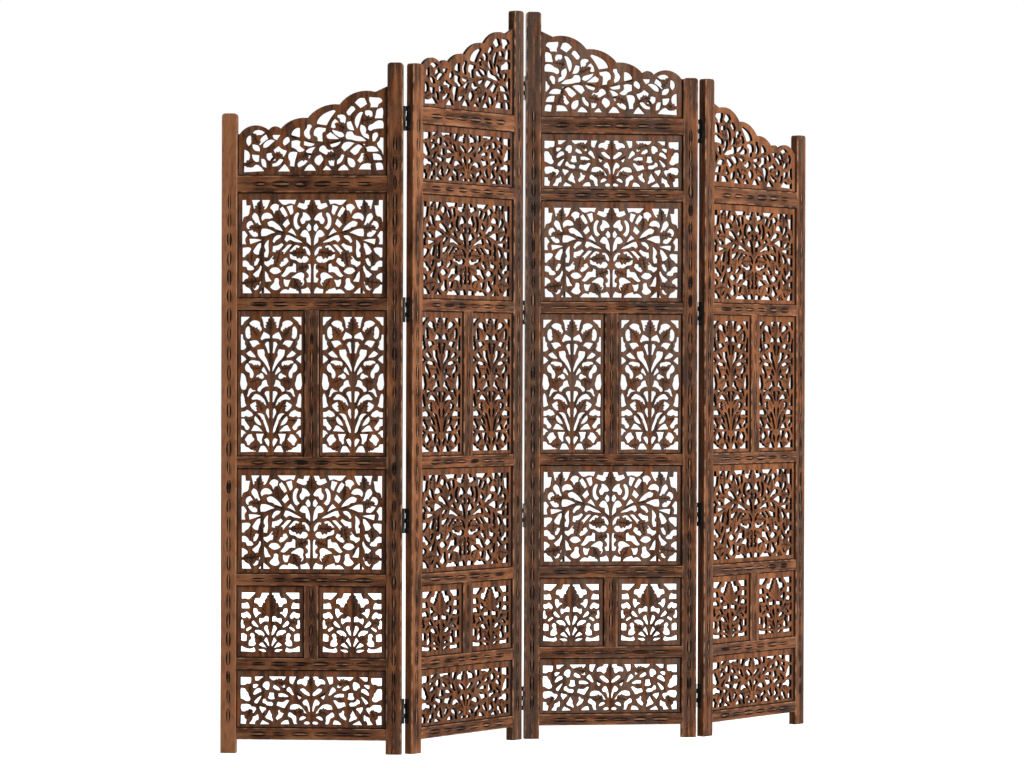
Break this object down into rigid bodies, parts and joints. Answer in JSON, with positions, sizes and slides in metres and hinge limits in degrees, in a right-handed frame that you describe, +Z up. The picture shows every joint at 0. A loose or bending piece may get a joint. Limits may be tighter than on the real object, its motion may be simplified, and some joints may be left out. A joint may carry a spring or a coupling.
{
  "type": "folding room divider",
  "caption": "Free-standing folding screen of hinged wooden leaves, each a frame of posts and rails around pierced vine-and-leaf boards, with a scalloped top edge climbing to the middle.",
  "frame": {"origin": "middle of the standing footprint, on the floor under the posts", "axes": "+Z up; X along the run of the zigzag from the first leaf to the last; the fronts of the leaves face -Y"},
  "size_m": [1.4882, 0.2222, 1.65],
  "materials": {
    "frame_wood": "hardwood, walnut-brown stain with dark rubbed-in antiquing under satin lacquer",
    "carved_wood": "carved hardwood board, walnut-brown stain, darker in the cuts, satin lacquer",
    "black_hinge_steel": "pressed steel with black satin finish"
  },
  "bodies": {
    "leaf_1": {"leaf_1_left_post": "frame_wood", "leaf_1_right_post": "frame_wood", "leaf_1_bottom_rail": "frame_wood", "leaf_1_cross_rails": "frame_wood", "leaf_1_crest_rail": "frame_wood", "leaf_1_mullions": "frame_wood", "leaf_1_bottom_fret": "carved_wood", "leaf_1_square_frets": "carved_wood", "leaf_1_lower_tree_fret": "carved_wood", "leaf_1_tall_frets": "carved_wood", "leaf_1_upper_tree_fret": "carved_wood", "leaf_1_crest_fret": "carved_wood", "fold_1_left_hinge_plates": "black_hinge_steel", "fold_1_hinge_pins": "black_hinge_steel"},
    "leaf_2": {"leaf_2_left_post": "frame_wood", "leaf_2_right_post": "frame_wood", "leaf_2_bottom_rail": "frame_wood", "leaf_2_cross_rails": "frame_wood", "leaf_2_crest_rail": "frame_wood", "leaf_2_mullions": "frame_wood", "leaf_2_bottom_fret": "carved_wood", "leaf_2_square_frets": "carved_wood", "leaf_2_lower_tree_fret": "carved_wood", "leaf_2_tall_frets": "carved_wood", "leaf_2_upper_tree_fret": "carved_wood", "leaf_2_top_fret": "carved_wood", "leaf_2_crest_fret": "carved_wood", "fold_1_right_hinge_plates": "black_hinge_steel", "fold_2_left_hinge_plates": "black_hinge_steel", "fold_2_hinge_pins": "black_hinge_steel"},
    "leaf_3": {"leaf_3_left_post": "frame_wood", "leaf_3_right_post": "frame_wood", "leaf_3_bottom_rail": "frame_wood", "leaf_3_cross_rails": "frame_wood", "leaf_3_crest_rail": "frame_wood", "leaf_3_mullions": "frame_wood", "leaf_3_bottom_fret": "carved_wood", "leaf_3_square_frets": "carved_wood", "leaf_3_lower_tree_fret": "carved_wood", "leaf_3_tall_frets": "carved_wood", "leaf_3_upper_tree_fret": "carved_wood", "leaf_3_top_fret": "carved_wood", "leaf_3_crest_fret": "carved_wood", "fold_2_right_hinge_plates": "black_hinge_steel", "fold_3_left_hinge_plates": "black_hinge_steel", "fold_3_hinge_pins": "black_hinge_steel"},
    "leaf_4": {"leaf_4_left_post": "frame_wood", "leaf_4_right_post": "frame_wood", "leaf_4_bottom_rail": "frame_wood", "leaf_4_cross_rails": "frame_wood", "leaf_4_crest_rail": "frame_wood", "leaf_4_mullions": "frame_wood", "leaf_4_bottom_fret": "carved_wood", "leaf_4_square_frets": "carved_wood", "leaf_4_lower_tree_fret": "carved_wood", "leaf_4_tall_frets": "carved_wood", "leaf_4_upper_tree_fret": "carved_wood", "leaf_4_crest_fret": "carved_wood", "fold_3_right_hinge_plates": "black_hinge_steel"}
  },
  "joints": [
    {"name": "fold_1", "type": "hinge", "parent": "leaf_1", "child": "leaf_2", "pos_m": [-0.38801, -0.09237, 0], "axis": [0, 0, 1], "range_deg": [-56, 124]},
    {"name": "fold_2", "type": "hinge", "parent": "leaf_2", "child": "leaf_3", "pos_m": [-0.01707, 0.06184, 0], "axis": [0, 0, 1], "range_deg": [-135, 45]},
    {"name": "fold_3", "type": "hinge", "parent": "leaf_3", "child": "leaf_4", "pos_m": [0.3699, -0.04602, 0], "axis": [0, 0, 1], "range_deg": [-42.5, 137.5]}
  ]
}
